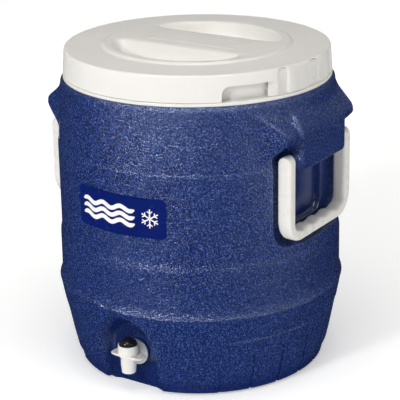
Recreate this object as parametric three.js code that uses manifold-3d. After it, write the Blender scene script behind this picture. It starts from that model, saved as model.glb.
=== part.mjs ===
// Insulated drink dispenser: a round foam-filled jug with a screw lid, two swing
// handles and a push-button tap. Millimetres, +Z up, tap on -Y, handles on +X and -X.
import * as THREE from 'three';
import { mergeVertices } from 'three/addons/utils/BufferGeometryUtils.js';
import Module from 'manifold-3d';

const wasm = await Module();
wasm.setup();

// ---------- driving dimensions ----------
const GAP = 0.3;                 // clearance between touching pieces
const RING = 40;                 // facets round the body axis
const SMALL_RING = 16;           // facets round small parts
const WALL = 3;                  // moulded wall thickness
const TOP = 363.2;               // top face of the outer shell
const BASE_R = 148.5;            // flat of the base
const CREST = { r: 180, z: 107 };// widest ring of the body
const WAIST_R = 174.6;           // straight part that carries the label
const MOUTH_R = 153;             // hole in the top of the outer shell

const TANK = { r: 136, floor: 24, shoulder: 350 };       // outside of the inner liner
const NECK = { r: 155, top: 391, lipR: 165, lipTop: 367.5 };

const LUG = { face: 178, half: 52.5, low: 277, high: 325, root: 344 };
const EAR = { tip: 175, half: 80, rootX: 151.8, rootZ: 297 };
const POCKET = { floor: 150, half: 79.6, low: 184.5, corner: 24 };
const SCOOP = { floor: 144.5, half: 38, low: 200, high: 268 };

const HANDLE = { x: 165.3, z: 290, thick: 16.4, half: 74.65, band: 14.5, low: 190, corner: 25 };
const PIVOT = { r: 4.8, inner: 42, socket: 5.2 };

const ALCOVE = { back: -142, backHalf: 33, backTop: 83, splay: 0.365, rise: 0.135 };
const TAP = {
  y: -163, z: 44, nozzleLow: 24, barrelR: 9.5, cupR: 12.6, cupTop: 54.5, valveR: 3.7, ledge: 44.6,
};
const SHANK = { r: 8, bore: 5.2, end: -117, hole: 8.6 };
const FLANGE = { r: 16.5, thick: 3 };

const LID = { r: 162.5, top: 400, skirtR: 164.5, skirtLow: 368, plateauR: 114, plateau: 403 };
const NOTCH = { start: -47, end: -26, top: 386 };
const WELL = { chord: 36, arc: 104, floor: 383, half: 84, corner: 12 };
const PAN = { r: 149, low: 364.6, flangeR: 158, flangeLow: 394.6 };
const THREAD = { lead: 36, starts: 4, height: 3, tip: 158.2, lidTip: 157.3, z: 376, below: 3.8 };
const FACET = 360 / RING;        // thread ribs begin and end on facet corners
const NECK_RIB = { start: -3 * FACET, span: 7 * FACET };
const LID_RIB = { start: 0, span: 3 * FACET };
const LABEL = { half: 62, low: 207, high: 256.5, corner: 6, thick: 0.8 };

// ---------- solids ----------
function solid(geometry) {
  const bare = geometry.clone();
  bare.deleteAttribute('normal');
  bare.deleteAttribute('uv');
  const merged = mergeVertices(bare, 1e-3);
  const index = merged.index.array;
  const kept = [];
  for (let i = 0; i < index.length; i += 3) {
    const [a, b, c] = [index[i], index[i + 1], index[i + 2]];
    if (a !== b && b !== c && c !== a) kept.push(a, b, c);
  }
  return new wasm.Manifold(new wasm.Mesh({
    numProp: 3,
    vertProperties: new Float32Array(merged.attributes.position.array),
    triVerts: new Uint32Array(kept),
  }));
}

function part(name, body, colour, roughness, metalness = 0) {
  const mesh = body.getMesh();
  const geometry = new THREE.BufferGeometry();
  geometry.setAttribute('position', new THREE.BufferAttribute(mesh.vertProperties, 3));
  geometry.setIndex(new THREE.BufferAttribute(mesh.triVerts, 1));
  geometry.computeVertexNormals();
  const material = new THREE.MeshStandardMaterial({ color: colour, roughness, metalness });
  const node = new THREE.Mesh(geometry, material);
  node.name = name;
  return node;
}

// A ring or disc turned about +Z from a closed outline of [radius, height] corners.
function turned(outline, facets = RING) {
  const corners = outline.map(([r, z]) => new THREE.Vector2(r, z));
  if (outline[0][0] !== 0) corners.push(corners[0].clone());
  const geometry = new THREE.LatheGeometry(corners, facets);
  geometry.rotateX(Math.PI / 2);
  return solid(geometry);
}

function drum(radius, low, high, facets = SMALL_RING) {
  return turned([[0, low], [radius, low], [radius, high], [0, high]], facets);
}

function tube(outer, inner, low, high, facets = SMALL_RING) {
  return turned([[inner, low], [outer, low], [outer, high], [inner, high]], facets);
}

function outlineShape(points) {
  return new THREE.Shape(points.map(([x, y]) => new THREE.Vector2(x, y)));
}

function roundedRect(x0, y0, x1, y1, r) {
  const shape = new THREE.Shape();
  shape.moveTo(x0 + r, y0);
  shape.lineTo(x1 - r, y0);
  shape.absarc(x1 - r, y0 + r, r, -Math.PI / 2, 0, false);
  shape.lineTo(x1, y1 - r);
  shape.absarc(x1 - r, y1 - r, r, 0, Math.PI / 2, false);
  shape.lineTo(x0 + r, y1);
  shape.absarc(x0 + r, y1 - r, r, Math.PI / 2, Math.PI, false);
  shape.lineTo(x0, y0 + r);
  shape.absarc(x0 + r, y0 + r, r, Math.PI, 1.5 * Math.PI, false);
  return shape;
}

function extrude(shape, depth, curveSegments, bevel) {
  return new THREE.ExtrudeGeometry(shape, {
    depth: depth - 2 * bevel,
    curveSegments,
    bevelEnabled: bevel > 0,
    bevelThickness: bevel,
    bevelSize: bevel,
    bevelOffset: -bevel,
    bevelSegments: 1,
  }).translate(0, 0, bevel);
}

// shape drawn in (x, y), swept from low to high along +Z
function alongZ(shape, low, high, curveSegments = 6) {
  return solid(extrude(shape, high - low, curveSegments, 0).translate(0, 0, low));
}

// shape drawn in (y, z), swept along +X
function alongX(shape, low, high, curveSegments = 6, bevel = 0) {
  const geometry = extrude(shape, high - low, curveSegments, bevel).translate(0, 0, low);
  const turn = new THREE.Matrix4().makeBasis(
    new THREE.Vector3(0, 1, 0), new THREE.Vector3(0, 0, 1), new THREE.Vector3(1, 0, 0));
  return solid(geometry.applyMatrix4(turn));
}

// shape drawn in (x, z), swept along Y
function alongY(shape, low, high, curveSegments = 6) {
  const geometry = extrude(shape, high - low, curveSegments, 0).translate(0, 0, -high);
  const turn = new THREE.Matrix4().makeBasis(
    new THREE.Vector3(1, 0, 0), new THREE.Vector3(0, 0, 1), new THREE.Vector3(0, -1, 0));
  return solid(geometry.applyMatrix4(turn));
}

function block(x0, x1, y0, y1, z0, z1) {
  const geometry = new THREE.BoxGeometry(x1 - x0, y1 - y0, z1 - z0);
  return solid(geometry.translate((x0 + x1) / 2, (y0 + y1) / 2, (z0 + z1) / 2));
}

// the same solid on the other side of the jug, half a turn round
const oppositeSide = (body) => body.rotate([0, 0, 180]);
const bothSides = (body) => body.add(oppositeSide(body));

// a solid turned so that its own +Z points along -Y, with its origin on the tap's axis
const towardsFront = (body) => body.rotate([90, 0, 0]).translate([0, 0, TAP.z]);

// ---------- outer shell ----------
function shellOutside() {
  return turned([
    [0, 0], [BASE_R, 0], [158.2, 10], [163, 20], [166.3, 35], [172, 65], [177.5, 95],
    [CREST.r, CREST.z], [176.5, 119], [176.3, 166], [WAIST_R, 178], [WAIST_R, 262],
    [171.3, 320], [168.4, TOP - 4], [165, TOP], [0, TOP],
  ]);
}

// one lug: ears over the handle's arms
function ears() {
  const side = outlineShape([
    [140, LUG.root], [149, LUG.root], [EAR.tip, LUG.high + 1.5], [EAR.tip, LUG.high - 1.5],
    [EAR.rootX, EAR.rootZ], [140, EAR.rootZ],
  ]);
  return alongY(side, -EAR.half, EAR.half);
}

// one lug: the block between the handle's arms
function lugBlock() {
  const side = outlineShape([
    [POCKET.floor - 2, LUG.root], [168, LUG.root - 2], [LUG.face, LUG.high],
    [LUG.face, LUG.low], [POCKET.floor - 2, LUG.low - 6],
  ]);
  return alongY(side, -LUG.half, LUG.half);
}

// the hollow that a hanging handle lies in; grow makes the keep-out behind its wall
function pocket(grow = 0) {
  const slope = (LUG.high - EAR.rootZ) / (EAR.tip - EAR.rootX);
  const reach = 220;
  const floor = POCKET.floor - grow;
  const low = POCKET.low - grow;
  const high = EAR.rootZ + (POCKET.floor - EAR.rootX) * slope;
  const side = outlineShape([
    [floor, low + 6], [floor + 8, low], [reach, low],
    [reach, high + (reach - POCKET.floor) * slope], [floor, high - grow * slope],
  ]);
  const half = POCKET.half + grow;
  const front = roundedRect(-half, low, half, 420, POCKET.corner);
  return alongY(side, -half, half).intersect(alongX(front, floor - 5, reach));
}

function scoop(grow = 0) {
  const front = roundedRect(-SCOOP.half - grow, SCOOP.low - grow, SCOOP.half + grow,
    SCOOP.high + grow, 12);
  return alongX(front, SCOOP.floor - grow, LUG.face + 20, 3);
}

function pivotSockets() {
  const socket = drum(PIVOT.socket, PIVOT.inner - GAP, HANDLE.half, SMALL_RING);
  const front = socket.rotate([90, 0, 0]);
  const back = socket.rotate([-90, 0, 0]);
  return front.add(back).translate([HANDLE.x, 0, HANDLE.z]);
}

// arched alcove round the tap, splayed outwards and open through the base
function alcove(grow = 0) {
  const half = ALCOVE.backHalf + grow;
  const depth = 50;
  const springLine = ALCOVE.backTop - ALCOVE.backHalf;
  const arch = new THREE.Shape();
  arch.moveTo(-half, -8);
  arch.lineTo(half, -8);
  arch.absarc(0, springLine, half, 0, Math.PI, false);
  const geometry = extrude(arch, depth, 9, 0);
  const position = geometry.attributes.position;
  for (let i = 0; i < position.count; i += 1) {
    const far = position.getZ(i);
    if (far > 0) {
      position.setX(i, position.getX(i) * (half + far * ALCOVE.splay) / half);
      const z = position.getY(i);
      const lift = z > 0 ? far * ALCOVE.rise : 0;
      const spread = z > springLine ? (z - springLine) * far * ALCOVE.splay / half : 0;
      position.setY(i, z + lift + spread);
    }
  }
  const front = solid(geometry).rotate([90, 0, 0]);
  return front.translate([0, ALCOVE.back + grow, 0]);
}

// space inside the outer shell; inset shrinks it all round
function shellCavity(inset = 0) {
  const w = WALL + inset;
  const hollow = turned([
    [0, w], [BASE_R - 4 - inset, w], [163 - w, 22], [172 - w, 65], [CREST.r - 0.8 - w, CREST.z],
    [176.3 - w, 122], [WAIST_R - w, 180], [WAIST_R - w, 262], [171.3 - w, 320],
    [168.4 - w, TOP - w - 2], [164 - w, TOP - w], [0, TOP - w],
  ]);
  const side = pocket(w).add(scoop(w)).add(
    block(POCKET.floor - w, 220, -EAR.half - w, EAR.half + w, LUG.low - 10, LUG.root + 3 + inset));
  return hollow.subtract(bothSides(side)).subtract(alcove(w));
}

function shankHole(radius) {
  return towardsFront(drum(radius, 100, 160));
}

function outerShell() {
  const lugs = bothSides(ears()).subtract(bothSides(pocket())).subtract(bothSides(scoop()));
  let body = shellOutside().subtract(bothSides(pocket().add(scoop())));
  body = body.add(lugs).add(bothSides(lugBlock()));
  body = body.subtract(bothSides(pivotSockets())).subtract(alcove());
  body = body.subtract(shellCavity());
  body = body.subtract(drum(MOUTH_R, TOP - 10, TOP + 10, RING));
  body = body.subtract(shankHole(SHANK.hole)).subtract(drum(11, -1, 10));
  return body;
}

function fillPlug() {
  return drum(11 - GAP, 0.6, 2.4).add(drum(15, WALL + GAP, 5)).add(drum(8, 2, 4));
}

// ---------- insulation and liner ----------
function linerOutside(grow = 0) {
  const r = TANK.r + grow;
  const neck = MOUTH_R - 0.5 + grow;
  return turned([
    [0, TANK.floor - grow], [r - 6, TANK.floor - grow], [r, TANK.floor + 6], [r, TANK.shoulder],
    [neck, TANK.shoulder + 10], [neck, NECK.top + 20], [0, NECK.top + 20],
  ]);
}

function foamBody() {
  const foam = shellCavity(GAP).subtract(linerOutside(GAP));
  return foam.subtract(shankHole(SHANK.hole + 1)).subtract(drum(16, 0, 6));
}

// one helical thread rib: rises with its angle, between two radii
function threadRib(inner, outer, start, span, z) {
  const steps = Math.round(span / FACET);
  const positions = [];
  const index = [];
  for (let i = 0; i <= steps; i += 1) {
    const turn = (i / steps) * span;
    const angle = THREE.MathUtils.degToRad(start + turn);
    const mid = z + (THREAD.lead * turn) / 360;
    const thin = THREAD.height / 2 - 0.6;
    const ring = [[inner, -THREAD.height / 2], [outer, -thin], [outer, thin],
      [inner, THREAD.height / 2]];
    for (const [r, dz] of ring) {
      positions.push(r * Math.cos(angle), r * Math.sin(angle), mid + dz);
    }
  }
  for (let i = 0; i < steps; i += 1) {
    for (let k = 0; k < 4; k += 1) {
      const a = 4 * i + k;
      const b = 4 * i + ((k + 1) % 4);
      index.push(a, b, a + 4, b, b + 4, a + 4);
    }
  }
  const end = 4 * steps;
  index.push(0, 3, 2, 0, 2, 1, end, end + 1, end + 2, end, end + 2, end + 3);
  if (inner < outer) index.reverse();
  const geometry = new THREE.BufferGeometry();
  geometry.setAttribute('position', new THREE.Float32BufferAttribute(positions, 3));
  geometry.setIndex(index);
  return solid(geometry);
}

function ribs(inner, outer, start, span, z) {
  let all = threadRib(inner, outer, start, span, z);
  for (let i = 1; i < THREAD.starts; i += 1) {
    all = all.add(threadRib(inner, outer, start + (360 / THREAD.starts) * i, span, z));
  }
  return all;
}

// white tank with its lip and threaded neck, and a flat pad for the tap's nut
function innerLiner() {
  const r = TANK.r;
  const neckIn = NECK.r - 4;
  const throat = MOUTH_R - 0.5;
  let body = turned([
    [0, TANK.floor], [r - 6, TANK.floor], [r, TANK.floor + 6], [r, TANK.shoulder],
    [throat, TANK.shoulder + 10], [throat, TOP + GAP], [NECK.lipR, TOP + GAP],
    [NECK.lipR, NECK.lipTop], [NECK.r, NECK.lipTop], [NECK.r, NECK.top],
    [neckIn, NECK.top], [neckIn, TANK.shoulder + 14], [neckIn - WALL, TANK.shoulder + 14],
    [neckIn - WALL, TANK.shoulder + 12.5], [r - WALL, TANK.shoulder + 0.5],
    [r - WALL, TANK.floor + 8], [r - 8, TANK.floor + WALL], [0, TANK.floor + WALL],
  ]);
  body = body.add(ribs(NECK.r - 1, THREAD.tip, NECK_RIB.start, NECK_RIB.span, THREAD.z));
  const pad = towardsFront(drum(15.8, 131, r - 2.6));
  return body.add(pad).subtract(shankHole(SHANK.hole));
}

// ---------- tap ----------
const onTapAxis = (body) => body.translate([0, TAP.y, 0]);

function tapBody() {
  const barrel = turned([
    [0, TAP.nozzleLow], [8.6, TAP.nozzleLow], [TAP.barrelR, 34], [TAP.barrelR, 44],
    [TAP.cupR, 48], [TAP.cupR, TAP.cupTop], [0, TAP.cupTop],
  ], SMALL_RING);
  const wings = alongZ(roundedRect(-23.3, -10.7, 23.3, 10.7, 7), 46, 49, 4);
  const neck = towardsFront(drum(7.6, -ALCOVE.back + 3, -TAP.y));
  const flange = towardsFront(drum(FLANGE.r, 144.4, 144.4 + FLANGE.thick));
  const shank = towardsFront(drum(SHANK.r, -SHANK.end, 146));
  let body = onTapAxis(barrel.add(wings)).add(neck).add(flange).add(shank);
  const chamber = drum(6.5, TAP.ledge, 60);
  const valveBore = drum(TAP.valveR, 30, 50);
  const nozzle = drum(7.2, TAP.nozzleLow - 2, 35.5);
  const cup = drum(TAP.cupR - 0.9, 48.2, 60);
  body = body.subtract(onTapAxis(chamber.add(valveBore).add(nozzle).add(cup)));
  return body.subtract(towardsFront(drum(SHANK.bore, -SHANK.end - 5, -TAP.y - 2)));
}

function stemGuide() {
  return onTapAxis(tube(6.2, 2.3, 45.2, 48).subtract(drum(4.3, 45, 46.8)));
}

function ringOf(radius, thick, z) {
  const geometry = new THREE.TorusGeometry(radius, thick, 8, SMALL_RING);
  return onTapAxis(solid(geometry.translate(0, 0, z)));
}

function tapButton() {
  const dome = turned([
    [8.4, 53.9], [11.3, 53.9], [11.3, 60], [10.6, 63.2], [8.6, 65.9], [5.2, 67.6], [0, 68.2],
    [0, 62.3], [3.4, 62.3], [3.4, 60.6], [8.4, 60.6],
  ], SMALL_RING);
  return onTapAxis(dome);
}

function tapStem() {
  return onTapAxis(drum(1.7, 35.6, 62, 16).add(drum(3.2, 30.4, 32.1, 16)).add(drum(1.2, 31, 36, 16)));
}

function tapSeal() {
  return onTapAxis(tube(6, 1.5, 32.4, 35.2));
}

function tapSpring() {
  const turns = 4;
  const path = new THREE.CatmullRomCurve3(Array.from({ length: turns * 8 + 1 }, (_, i) => {
    const angle = (i / 8) * 2 * Math.PI;
    return new THREE.Vector3(5.2 * Math.cos(angle), 5.2 * Math.sin(angle),
      49.3 + (10.4 * i) / (turns * 8));
  }));
  const wire = new THREE.Shape();
  wire.absarc(0, 0, 0.6, 0, 2 * Math.PI, false);
  const geometry = new THREE.ExtrudeGeometry(wire, {
    steps: turns * 10, curveSegments: 3, extrudePath: path, bevelEnabled: false,
  });
  return onTapAxis(solid(geometry));
}

function shankGasket(radius, from, to) {
  return towardsFront(tube(radius, SHANK.r + GAP, from, to));
}

function tapNut() {
  const bore = drum(SHANK.r + GAP, 119, 130);
  return towardsFront(drum(14.5, 120.4, 128.4, 6).subtract(bore));
}

// ---------- handles ----------
function bail() {
  const { half, band, low, corner, x, z, thick } = HANDLE;
  const top = z + thick;
  const shape = new THREE.Shape();
  shape.moveTo(-half, top);
  shape.lineTo(-half, low + corner);
  shape.absarc(-half + corner, low + corner, corner, Math.PI, 1.5 * Math.PI, false);
  shape.lineTo(half - corner, low);
  shape.absarc(half - corner, low + corner, corner, 1.5 * Math.PI, 2 * Math.PI, false);
  shape.lineTo(half, top);
  shape.lineTo(half - band, top);
  shape.lineTo(half - band, low + corner);
  shape.absarc(half - corner, low + corner, corner - band, 2 * Math.PI, 1.5 * Math.PI, true);
  shape.lineTo(-half + corner, low + band);
  shape.absarc(-half + corner, low + corner, corner - band, 1.5 * Math.PI, Math.PI, true);
  const frame = alongX(shape, x - thick / 2, x + thick / 2, 6, 3);
  const arm = new THREE.Shape();
  arm.moveTo(x - thick / 2, low - 5);
  arm.lineTo(x + thick / 2, low - 5);
  arm.absarc(x, z, thick / 2, 0, Math.PI, false);
  const stub = drum(PIVOT.r, PIVOT.inner, half - 2).rotate([90, 0, 0]);
  const stubs = stub.add(stub.mirror([0, 1, 0])).translate([x, 0, z]);
  return frame.intersect(alongY(arm, -half - 1, half + 1)).add(stubs);
}

// ---------- lid ----------
// one finger well beside the grip bar: straight chord, round outer edge
function well(grow, low, high) {
  const arc = drum(WELL.arc + grow, low, high, RING);
  const box = block(-WELL.half - grow, WELL.half + grow, -120, -WELL.chord + grow, low, high);
  return arc.intersect(box);
}

// the notch through the skirt's lower edge, between two angles in degrees from +X
function skirtNotch(start, end) {
  const notch = new THREE.Shape();
  const arc = THREE.MathUtils.degToRad(end - start);
  notch.absarc(0, 0, LID.skirtR + 5, 0, arc, false);
  notch.absarc(0, 0, LID.skirtR - 6, arc, 0, true);
  return alongZ(notch, LID.skirtLow - 5, NOTCH.top, 3).rotate([0, 0, start]);
}

function lidTop() {
  const under = LID.top - WALL;
  let body = turned([
    [0, under], [LID.skirtR - WALL - 0.4, under], [LID.skirtR - WALL, LID.skirtLow],
    [LID.skirtR, LID.skirtLow], [LID.r + 0.6, under], [LID.r - 1.2, LID.top - 0.4],
    [LID.plateauR + 3, LID.top - 0.6], [LID.plateauR, LID.plateau], [0, LID.plateau],
  ]);
  body = body.add(bothSides(well(WALL, WELL.floor - WALL, under + 1)));
  body = body.subtract(bothSides(well(0, WELL.floor, LID.plateau + 5)));
  const rise = (THREAD.lead * (LID_RIB.start - NECK_RIB.start)) / 360;
  const lidRibs = ribs(LID.skirtR - WALL + 1, THREAD.lidTip, LID_RIB.start, LID_RIB.span,
    THREAD.z - THREAD.below + rise);
  return body.add(lidRibs).subtract(bothSides(skirtNotch(NOTCH.start, NOTCH.end)));
}

function lidPan() {
  const { r, low, flangeR, flangeLow } = PAN;
  return turned([
    [0, low], [r - 4, low], [r, low + 6], [r, flangeLow], [flangeR, flangeLow],
    [flangeR, flangeLow + 2], [r - WALL, flangeLow + 2], [r - WALL, low + 7],
    [r - 6, low + WALL], [0, low + WALL],
  ]);
}

function lidFoam() {
  const top = LID.top - WALL - GAP;
  const low = PAN.low + WALL + GAP;
  const r = PAN.r - WALL - GAP;
  const foam = turned([[0, low], [r - 4, low], [r, low + 5], [r, top], [0, top]]);
  return foam.subtract(bothSides(well(WALL + GAP, WELL.floor - WALL - GAP, top + 5)));
}

function lidGasket() {
  return tube(NECK.r + 1, NECK.r - 4.5, NECK.top + GAP, PAN.flangeLow - GAP, RING);
}

// ---------- label ----------
function label() {
  const inner = WAIST_R + 0.35;
  const ring = tube(inner + LABEL.thick, inner, LABEL.low - 1, LABEL.high + 1, RING);
  const front = alongY(roundedRect(-LABEL.half, LABEL.low, LABEL.half, LABEL.high, LABEL.corner),
    -200, 0, 3);
  return ring.intersect(front);
}

// ---------- assembly ----------
const BLUE = 0x27345f;
const WHITE = 0xe6e3dc;
const FOAM = 0xd9c48a;
const BLACK = 0x141414;
const RUBBER = 0x303030;

const jug = new THREE.Group();
jug.add(part('outer_shell', outerShell(), BLUE, 0.55));
jug.add(part('fill_plug', fillPlug(), BLUE, 0.6));
jug.add(part('foam_body', foamBody(), FOAM, 0.9));
jug.add(part('inner_liner', innerLiner(), WHITE, 0.4));
jug.add(part('label', label(), 0x0a1a66, 0.3));

const tap = new THREE.Group();
tap.add(part('tap_body', tapBody(), WHITE, 0.35));
tap.add(part('tap_stem_guide', stemGuide(), WHITE, 0.4));
tap.add(part('tap_stem_ring', ringOf(3, 0.9, 45.7), RUBBER, 0.8));
tap.add(part('tap_stem', tapStem(), WHITE, 0.4));
tap.add(part('tap_seal', tapSeal(), RUBBER, 0.8));
tap.add(part('tap_spring', tapSpring(), 0xb8bcc0, 0.25, 1));
tap.add(part('tap_button', tapButton(), BLACK, 0.2));
tap.add(part('tap_gasket_outer', shankGasket(15.5, 142.3, 144.1), RUBBER, 0.8));
tap.add(part('tap_gasket_inner', shankGasket(13.5, 128.7, 130.7), RUBBER, 0.8));
tap.add(part('tap_nut', tapNut(), WHITE, 0.4));
jug.add(tap);

jug.add(part('handle_right', bail(), WHITE, 0.35));
jug.add(part('handle_left', oppositeSide(bail()), WHITE, 0.35));

const lid = new THREE.Group();
lid.add(part('lid_top', lidTop(), WHITE, 0.4));
lid.add(part('lid_foam', lidFoam(), FOAM, 0.9));
lid.add(part('lid_pan', lidPan(), WHITE, 0.4));
lid.add(part('lid_gasket', lidGasket(), RUBBER, 0.8));
jug.add(lid);

export default jug;
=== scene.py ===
import math

import bmesh
import bpy
import numpy as np
from mathutils import Matrix, Vector


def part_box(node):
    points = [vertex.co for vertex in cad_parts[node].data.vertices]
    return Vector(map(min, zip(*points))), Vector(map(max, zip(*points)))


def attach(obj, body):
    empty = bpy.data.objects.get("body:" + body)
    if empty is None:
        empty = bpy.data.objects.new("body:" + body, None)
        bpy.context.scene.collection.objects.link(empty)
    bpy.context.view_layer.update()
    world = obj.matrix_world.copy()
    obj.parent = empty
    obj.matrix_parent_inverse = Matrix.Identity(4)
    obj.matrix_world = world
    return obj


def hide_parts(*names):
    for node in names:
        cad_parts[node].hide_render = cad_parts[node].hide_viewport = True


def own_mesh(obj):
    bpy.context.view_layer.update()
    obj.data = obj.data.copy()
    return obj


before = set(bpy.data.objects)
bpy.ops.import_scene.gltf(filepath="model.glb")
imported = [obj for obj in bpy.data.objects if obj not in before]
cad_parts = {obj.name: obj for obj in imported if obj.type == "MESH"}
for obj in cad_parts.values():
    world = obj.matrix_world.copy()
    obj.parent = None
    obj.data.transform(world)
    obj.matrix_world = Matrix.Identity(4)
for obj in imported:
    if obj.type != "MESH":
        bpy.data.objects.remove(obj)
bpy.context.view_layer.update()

MM = 0.001


def corners(node):
    """A CAD node's lowest and highest corners, in millimetres."""
    low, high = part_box(node)
    return np.array(low) / MM, np.array(high) / MM


# ---------- driving dimensions, from the frame ----------
SHELL_HIGH = corners("outer_shell")[1]
TOP = SHELL_HIGH[2]                       # top face of the outer shell
CREST = SHELL_HIGH[0]                     # radius of the widest ring
WALL = 3.0                                # moulded wall
LINER_HIGH = corners("inner_liner")[1]
LIP_R = LINER_HIGH[0]                     # white lip under the lid
NECK_TOP = LINER_HIGH[2]
BAIL_LOW, BAIL_HIGH = corners("handle_right")
BAIL_X = (BAIL_LOW[0] + BAIL_HIGH[0]) / 2
BAIL_THICK = BAIL_HIGH[0] - BAIL_LOW[0]
BAIL_SWELL = 1.4                          # thicker than the CAD solid, both faces together
BAIL_HALF = BAIL_HIGH[1]
BAIL_BAND = 14.5                          # width of the handle's bar and arms
BAIL_BEND = 30 - BAIL_BAND / 2            # bend radius of its centre line
PIVOT_Z = BAIL_HIGH[2] - BAIL_THICK / 2
PIN = {"radius": 4.8, "socket": 5.2, "inner": 42.0, "collar": 7.6, "collar_end": 59.0}
LABEL_LOW, LABEL_HIGH = corners("label")
SKIRT_R = corners("lid_top")[1][0]        # lower edge of the lid's skirt
LID_TOP = 400.0                           # face of the lid outside its plateau
TAP_LOW, TAP_HIGH = corners("tap_body")
BUTTON_LOW, BUTTON_HIGH = corners("tap_button")
TAP_Y = (BUTTON_LOW[1] + BUTTON_HIGH[1]) / 2
TAP_Z = 44.0                              # height of the shank's axis
SHANK_HOLE = 8.6                          # radius of the hole through shell and liner


# ---------- mesh tools ----------
def mesh_object(name, points, faces, material, crease=32):
    mesh = bpy.data.meshes.new(name)
    mesh.from_pydata((np.asarray(points, float) * MM).tolist(), [], faces)
    obj = bpy.data.objects.new(name, mesh)
    bpy.context.scene.collection.objects.link(obj)
    mesh.materials.append(material)
    face_outwards(mesh)
    soften(mesh, crease)
    return obj


def face_outwards(mesh):
    work = bmesh.new()
    work.from_mesh(mesh)
    bmesh.ops.remove_doubles(work, verts=work.verts, dist=1e-7)
    bmesh.ops.recalc_face_normals(work, faces=work.faces)
    work.to_mesh(mesh)
    work.free()


def soften(mesh, crease):
    mesh.shade_smooth()
    mesh.set_sharp_from_angle(angle=math.radians(crease))


def skin(rings, loop=False, capped=True):
    """Quads between rings of points; the last ring joins the first, or both ends get a fan."""
    rings = np.asarray(rings, float)
    rows, around = rings.shape[:2]
    index = np.arange(rows * around).reshape(rows, around)
    beside = np.roll(index, -1, axis=1)
    above, above_beside = np.roll(index, -1, axis=0), np.roll(beside, -1, axis=0)
    last = rows if loop else rows - 1
    quads = np.stack([index, beside, above_beside, above], -1)[:last]
    faces = quads.reshape(-1, 4).tolist()
    points = rings.reshape(-1, 3)
    if not loop and capped:
        centres = np.array([rings[0].mean(0), rings[-1].mean(0)])
        points = np.concatenate([points, centres])
        first, final = rows * around, rows * around + 1
        faces += [[first, b, a] for a, b in zip(index[0], beside[0])]
        faces += [[final, a, b] for a, b in zip(index[-1], beside[-1])]
        faces = [[int(i) for i in face] for face in faces]
    return points, faces


def rounded(outline, closed, steps=5):
    """An outline of (r, z) or (r, z, radius) corners, with each radius turned into a curve."""
    count = len(outline)
    line = []
    for i, corner in enumerate(outline):
        here = np.array(corner[:2], float)
        radius = corner[2] if len(corner) > 2 else 0
        if radius == 0 or (not closed and i in (0, count - 1)):
            line.append(here)
            continue
        before = np.array(outline[i - 1][:2], float) - here
        after = np.array(outline[(i + 1) % count][:2], float) - here
        a, b = before / np.linalg.norm(before), after / np.linalg.norm(after)
        half = math.acos(np.clip(a @ b, -1, 1)) / 2
        reach = radius / max(math.tan(half), 1e-3)
        reach = min(reach, 0.49 * np.linalg.norm(before), 0.49 * np.linalg.norm(after))
        for t in np.linspace(0, 1, steps + 1):
            line.append(here + a * reach * (1 - t) ** 2 + b * reach * t ** 2)
    return np.array(line)


def polar(radius, angle, z):
    """Points from their distance and angle about +Z, and their height."""
    return np.stack([radius * np.cos(angle), radius * np.sin(angle), z + 0 * angle], -1)


def circles(line, around):
    """One ring round +Z for each (r, z) point."""
    return polar(line[:, :1], np.arange(around) * 2 * math.pi / around, line[:, 1:])


def rod(radius, low, high, middle=0.0):
    """Outline of a plain rod; middle is the radius at the centre of its ends."""
    return np.array([(middle, low), (radius, low), (radius, high), (middle, high)], float)


def turned_rings(outline, around=96, loop=False, steps=5):
    line = rounded(outline, closed=loop, steps=steps)
    if not loop:
        line = line[line[:, 0] > 1e-6]
    return circles(line, around)


def turned(name, outline, material, around=96, loop=False, place=None, steps=5):
    """A piece turned about +Z, then moved by place, a function of its rings."""
    rings = turned_rings(outline, around, loop, steps)
    if place:
        rings = place(rings)
    return mesh_object(name, *skin(rings, loop), material)


def on_tap(points):
    """From the tap's own axis to the jug's frame."""
    return points + np.array([0, TAP_Y, 0])


def along_shank(points):
    """Turns +Z into -Y, at the height of the shank."""
    return np.stack([points[..., 0], -points[..., 2], points[..., 1] + TAP_Z], -1)


def on_pivot(points, end, side=1):
    """Turns +Z to lie along a handle's pivot, towards one end of it."""
    return np.stack([points[..., 0] + side * BAIL_X, points[..., 2] * end,
                     points[..., 1] + PIVOT_Z], -1)


def half_turn(points):
    return points * np.array([-1, -1, 1])


def combine(obj, other, operation):
    """Joins or cuts two closed meshes, and removes the second."""
    step = obj.modifiers.new("combine", "BOOLEAN")
    step.operation = operation
    step.solver = "MANIFOLD"
    step.object = other
    apply_modifiers(obj)
    bpy.data.objects.remove(other)


def shaped(obj, rings, operation):
    """Joins or cuts a mesh with the closed shape that the rings make."""
    combine(obj, mesh_object("tool", *skin(rings), obj.data.materials[0]), operation)


def apply_modifiers(obj):
    graph = bpy.context.evaluated_depsgraph_get()
    graph.update()
    final = bpy.data.meshes.new_from_object(obj.evaluated_get(graph))
    old = obj.data
    obj.modifiers.clear()
    obj.data = final
    bpy.data.meshes.remove(old)


def smooth_step(value):
    t = np.clip(value, 0, 1)
    return t * t * (3 - 2 * t)


def smooth_min(a, b, k):
    h = np.clip(0.5 + 0.5 * (b - a) / k, 0, 1)
    return b + (a - b) * h - k * h * (1 - h)


def smooth_max(a, b, k):
    return -smooth_min(-a, -b, k)


def past_line(x, z, start, end):
    """Signed distance to the line from start to end, positive on its left."""
    dx, dz = end[0] - start[0], end[1] - start[1]
    return (dx * (z - start[1]) - dz * (x - start[0])) / math.hypot(dx, dz)


def rectangle(u, v, half_u, half_v, corner):
    """Signed distance to a rectangle with round corners, centred on the origin."""
    over_u, over_v = np.abs(u) - half_u + corner, np.abs(v) - half_v + corner
    outside = np.hypot(np.maximum(over_u, 0), np.maximum(over_v, 0))
    return outside + np.minimum(np.maximum(over_u, over_v), 0) - corner


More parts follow.
